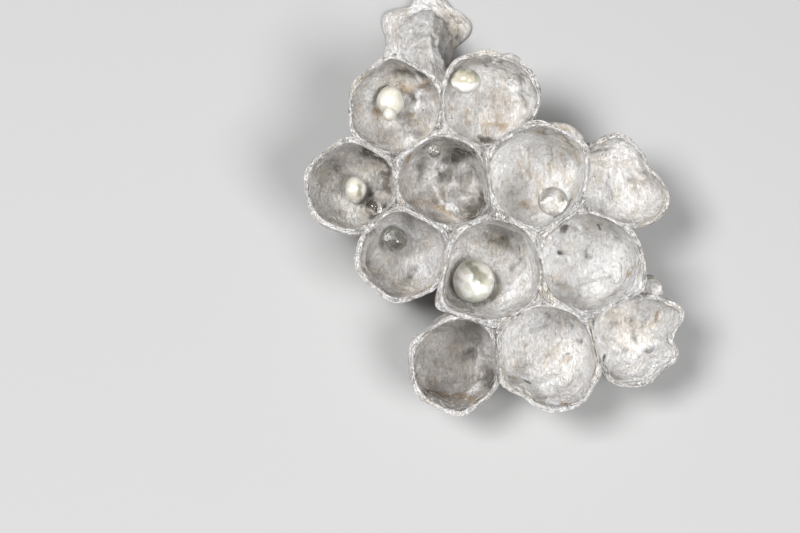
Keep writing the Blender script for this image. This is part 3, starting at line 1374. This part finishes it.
class Bench:
    """Builds one material's nodes."""

    def __init__(self, name: str) -> None:
        """Start a material with only its output."""
        self.material = bpy.data.materials.new(name)
        self.material.use_nodes = True
        self.tree = self.material.node_tree
        self.tree.nodes.clear()
        self.output = self.tree.nodes.new("ShaderNodeOutputMaterial")

    def node(self, kind: str, settings: dict | None = None, inputs: dict | None = None) -> Node:
        """Add a node: its settings first, then the values or links of its sockets.

        Args:
            kind: the node's type.
            settings: properties by name.
            inputs: values or signals by socket name or number.

        Returns:
            The node.
        """
        made = self.tree.nodes.new(kind)
        for key, value in (settings or {}).items():
            setattr(made, key, value)
        for key, value in (inputs or {}).items():
            if isinstance(value, Signal):
                self.tree.links.new(value.socket, made.inputs[key])
            else:
                made.inputs[key].default_value = value
        return Node(self, made)

    def place(self) -> Signal:
        """Where a point of the surface is, in the object's own coordinates."""
        return self.node("ShaderNodeTexCoord").out("Object")

    def noise(
        self, place: Signal, scale: float, detail: float = 3.0, rough: float = 0.55, warp: float = 0.0
    ) -> Signal:
        """Noise from 0 to 1 at a scale per metre."""
        inputs = {"Vector": place, "Scale": scale, "Detail": detail, "Roughness": rough, "Distortion": warp}
        return self.node("ShaderNodeTexNoise", None, inputs).out(0)

    def stretched(self, place: Signal, turn: tuple, scale: tuple) -> Signal:
        """Coordinates turned and stretched, for streaks that run one way."""
        inputs = {"Vector": place, "Rotation": turn, "Scale": scale}
        return self.node("ShaderNodeMapping", None, inputs).out(0)

    def blend(self, share: Signal, first: object, second: object) -> Signal:
        """A colour between two others. A Mix node's colours are its inputs 6 and 7 and its output 2."""
        settings = {"data_type": "RGBA", "blend_type": "MIX", "clamp_factor": True}
        return self.node("ShaderNodeMix", settings, {0: share, 6: first, 7: second}).out(2)

    def bump(self, height: Signal, distance: float, strength: float) -> Signal:
        """A normal tipped by a height."""
        inputs = {"Height": height, "Distance": distance, "Strength": strength}
        return self.node("ShaderNodeBump", None, inputs).out(0)

    def tones(self) -> tuple[Signal, Signal, Signal]:
        """How pale, tan and dark the mesh's tone attribute says a point is."""
        tone = self.node("ShaderNodeAttribute", {"attribute_name": TONE}).out("Color")
        split = self.node("ShaderNodeSeparateColor", None, {"Color": tone})
        return split.out(0), split.out(1), split.out(2)

    def principled(self, inputs: dict) -> Node:
        """The Principled shader with its inputs."""
        return self.node("ShaderNodeBsdfPrincipled", None, inputs)

    def finish(self, shader: Node, volume: Node | None = None) -> bpy.types.Material:
        """Join the shader to the material's output."""
        self.tree.links.new(shader.node.outputs[0], self.output.inputs["Surface"])
        if volume is not None:
            self.tree.links.new(volume.node.outputs[0], self.output.inputs["Volume"])
        return self.material


@dataclass(frozen=True)
class PaperFinish:
    """Chewed-fibre paper: grey and off-white mottling, tan stains, dark pits and fine fibre lines."""

    name: str = "nest_paper"
    grey: tuple = (0.55, 0.515, 0.485, 1.0)
    light: tuple = (0.80, 0.77, 0.74, 1.0)
    white: tuple = (0.965, 0.958, 0.948, 1.0)
    cool: tuple = (0.72, 0.72, 0.76, 1.0)
    tan: tuple = (0.52, 0.385, 0.235, 1.0)
    cream: tuple = (0.76, 0.66, 0.52, 1.0)
    fleck: tuple = (0.27, 0.24, 0.22, 1.0)
    dark: tuple = (0.135, 0.118, 0.100, 1.0)

    def fibre_lines(self, bench: Bench, place: Signal) -> Signal:
        """Fine crossing lines: where stretched noise passes its middle value, in three directions."""
        total: Signal | None = None
        for index, turn in enumerate(((0.3, 0.2, 0.4), (1.1, 0.5, 1.7), (2.0, 1.2, 2.6))):
            run = bench.stretched(place, turn, (1.0, 0.30, 0.8))
            field_value = bench.noise(run, 4600.0 + 700.0 * index, 2.0, 0.5, 0.4)
            line = (field_value - 0.5).size().within(0.04, 0.0)
            total = line if total is None else total + line
        return total

    def build(self) -> bpy.types.Material:
        """The material.

        Returns:
            A Principled material whose colour, roughness and normal vary.
        """
        bench = Bench(self.name)
        place = bench.place()
        pale, tan, dark = bench.tones()
        mottle = bench.noise(place, 1500.0, 5.0, 0.66, 0.5)
        speckle = bench.noise(place, 5200.0, 3.0, 0.6)
        stain = bench.noise(place, 620.0, 4.0, 0.6, 0.6)
        chill = bench.noise(place, 480.0, 3.0, 0.55, 0.4)
        lines = self.fibre_lines(bench, place)
        gaps = bench.noise(bench.stretched(place, (0.7, 0.9, 0.2), (1.0, 0.45, 0.8)), 6400.0, 3.0, 0.6, 0.5)
        colour = bench.blend(mottle.within(0.34, 0.62), self.grey, self.light)
        colour = bench.blend((pale * (0.40 + 1.2 * mottle)).within(0.05, 0.95), colour, self.white)
        colour = bench.blend(chill.within(0.50, 0.68) * 0.5, colour, self.cool)
        colour = bench.blend(stain.within(0.48, 0.69) * 0.55, colour, self.cream)
        colour = bench.blend(speckle.within(0.46, 0.30) * 0.55, colour, self.grey)
        colour = bench.blend((tan * (0.55 + 0.9 * speckle)).within(0.15, 1.15), colour, self.tan)
        colour = bench.blend(gaps.within(0.42, 0.30) * 0.36, colour, self.fleck)
        colour = bench.blend(lines * 0.42 * speckle.within(0.35, 0.6), colour, self.white)
        grime = (dark * (0.1 + 1.0 * mottle + 0.8 * speckle)).within(0.12, 1.15) * 0.92
        colour = bench.blend(grime, colour, self.dark)
        height = mottle * 0.7 + speckle * 0.35 + lines * 0.28 + gaps.within(0.30, 0.46) * 0.3
        normal = bench.bump(height, 0.00010, 0.9)
        rough = 0.56 + 0.34 * mottle.within(0.25, 0.75)
        inputs = {"Base Color": colour, "Roughness": rough, "Normal": normal, "IOR": 1.45}
        return bench.finish(bench.principled(inputs))


@dataclass(frozen=True)
class EggFinish:
    """A wet, pearly egg: cream with a faint cloud, white and olive marks, and a clear, glossy coat."""

    name: str
    body: tuple = (0.65, 0.64, 0.56, 1.0)
    cloud: tuple = (0.75, 0.745, 0.685, 1.0)
    white: tuple = (0.92, 0.92, 0.89, 1.0)
    beige: tuple = (0.50, 0.43, 0.29, 1.0)
    olive: tuple = (0.27, 0.265, 0.20, 1.0)
    depth: float = 0.0004

    def build(self) -> bpy.types.Material:
        """The material."""
        bench = Bench(self.name)
        place = bench.place()
        pale, tan, dark = bench.tones()
        cloud = bench.noise(place, 1400.0, 3.0, 0.5, 0.4)
        colour = bench.blend(cloud.within(0.35, 0.65), self.body, self.cloud)
        colour = bench.blend((tan * (0.6 + 0.8 * cloud)).within(0.1, 1.0), colour, self.beige)
        colour = bench.blend(pale.within(0.35, 1.0), colour, self.white)
        colour = bench.blend((dark * (0.6 + 0.8 * cloud)).within(0.2, 0.9), colour, self.olive)
        normal = bench.bump(bench.noise(place, 2200.0, 2.0), 0.00005, 0.4)
        inputs = {
            "Base Color": colour, "Roughness": 0.14, "Normal": normal, "IOR": 1.45,
            "Subsurface Weight": 0.25, "Subsurface Scale": self.depth,
            "Coat Weight": 1.0, "Coat Roughness": 0.06, "Coat IOR": 1.5,
        }
        return bench.finish(bench.principled(inputs))


@dataclass(frozen=True)
class DropFinish:
    """A clear drop: smooth, see-through and very slightly olive."""

    name: str
    tint: tuple = (0.90, 0.90, 0.84, 1.0)
    density: float = 90.0

    def build(self) -> bpy.types.Material:
        """The material."""
        bench = Bench(self.name)
        inputs = {
            "Base Color": (0.99, 0.99, 0.97, 1.0), "Roughness": 0.01, "IOR": 1.46, "Transmission Weight": 1.0,
        }
        shader = bench.principled(inputs)
        volume = bench.node("ShaderNodeVolumeAbsorption", None, {"Color": self.tint, "Density": self.density})
        return bench.finish(shader, volume)


@dataclass(frozen=True)
class FloorFinish:
    """The pale, matte surface under the nest."""

    name: str = "pale_floor"
    colour: tuple = (0.465, 0.465, 0.465, 1.0)

    def build(self) -> bpy.types.Material:
        """The material."""
        bench = Bench(self.name)
        inputs = {"Base Color": self.colour, "Roughness": 0.9, "IOR": 1.2}
        return bench.finish(bench.principled(inputs))


@dataclass
class Nest:
    """The dressed nest: cells, fibres, stalk, eggs and drops."""

    eggs: tuple = ("egg_top_left", "egg_top_right", "egg_left", "egg_middle", "bead_top_left")
    drops: tuple = ("drop_left", "drop_centre", "drop_right", "drop_low_left", "drop_on_rim")

    def dress(self, thing: Thing, material: bpy.types.Material, node: str) -> None:
        """Give a piece its material, its body and the node that it stands for.

        Args:
            thing: the piece.
            material: its finish.
            node: the frame's node that it replaces.
        """
        thing.data.materials.append(material)
        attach(thing, "root")
        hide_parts(node)
        LOG.info("%s: %d faces", thing.name, len(thing.data.polygons))

    def build(self) -> None:
        """Build every piece in order."""
        paper = PaperFinish().build()
        shells = {name: PaperShell(name) for name in CELLS}
        for shell in shells.values():
            self.dress(shell.build(), paper, "paper_comb")
        for thing in Fibres().build(shells) + PulpLumps().build() + Stalk().build():
            self.dress(thing, paper, "paper_comb")
        milk = EggFinish("egg_skin").build()
        for node in self.eggs:
            self.dress(Orb(node, 0.06).build(), milk, node)
        clear = DropFinish("clear_drop").build()
        for node in self.drops:
            self.dress(Orb(node, 0.03).build(), clear, node)


@dataclass
class Studio:
    """The pale floor, the soft lights and the camera over the mouths."""

    floor_size: float = 1.2
    key_power: float = 0.72
    key_size: float = 0.09
    fill_power: float = 0.53
    fill_size: float = 0.10
    surround: float = 0.09

    def camera(self) -> None:
        """A camera looking straight down the comb's own W, at the photograph's scale and framing."""
        lens = bpy.data.cameras.new("camera")
        half_width = PHOTO_WIDTH / 2.0 * MM_PER_PIXEL
        lens.lens = SENSOR_MM / 2.0 * CAMERA_SPOT[2] / half_width
        lens.sensor_width = SENSOR_MM
        lens.clip_start = 0.001
        thing = bpy.data.objects.new("camera", lens)
        bpy.context.scene.collection.objects.link(thing)
        thing.location = leaned(np.array(CAMERA_SPOT))
        thing.rotation_euler = (TILT, 0.0, 0.0)
        bpy.context.scene.camera = thing

    def lamp(self, name: str, spot: tuple, power: float, size: float) -> None:
        """An area light at a spot of the comb's frame, aimed at the comb's middle."""
        light = bpy.data.lights.new(name, "AREA")
        light.energy = power
        light.size = size
        thing = bpy.data.objects.new(name, light)
        bpy.context.scene.collection.objects.link(thing)
        start = leaned(np.array(spot, float))
        aim = leaned(np.zeros(3)) - start
        thing.location = start
        flat = math.hypot(aim[0], aim[1])
        thing.rotation_euler = (math.atan2(flat, -aim[2]), 0.0, math.atan2(aim[1], aim[0]) - math.pi / 2.0)

    def build(self) -> None:
        """Floor, lights, surroundings and camera."""
        half = self.floor_size / 2.0
        corners = np.array([[-half, -half, 0.0], [half, -half, 0.0], [half, half, 0.0], [-half, half, 0.0]])
        floor = make_mesh("floor", corners, [np.array([[0, 1, 2, 3]])])
        floor.data.materials.append(FloorFinish().build())
        self.lamp("key", (-105.0, 50.0, 240.0), self.key_power, self.key_size)
        self.lamp("fill", (95.0, -45.0, 240.0), self.fill_power, self.fill_size)
        world = bpy.data.worlds.new("surroundings")
        world.use_nodes = True
        world.node_tree.nodes["Background"].inputs["Color"].default_value = (1.0, 1.0, 1.0, 1.0)
        world.node_tree.nodes["Background"].inputs["Strength"].default_value = self.surround
        bpy.context.scene.world = world
        bpy.context.scene.view_settings.view_transform = "Standard"
        self.camera()


def main() -> None:
    """Build the nest and its studio."""
    logging.basicConfig(level=logging.INFO, format="%(message)s")
    Nest().build()
    Studio().build()


if __name__ == "__main__":
    main()
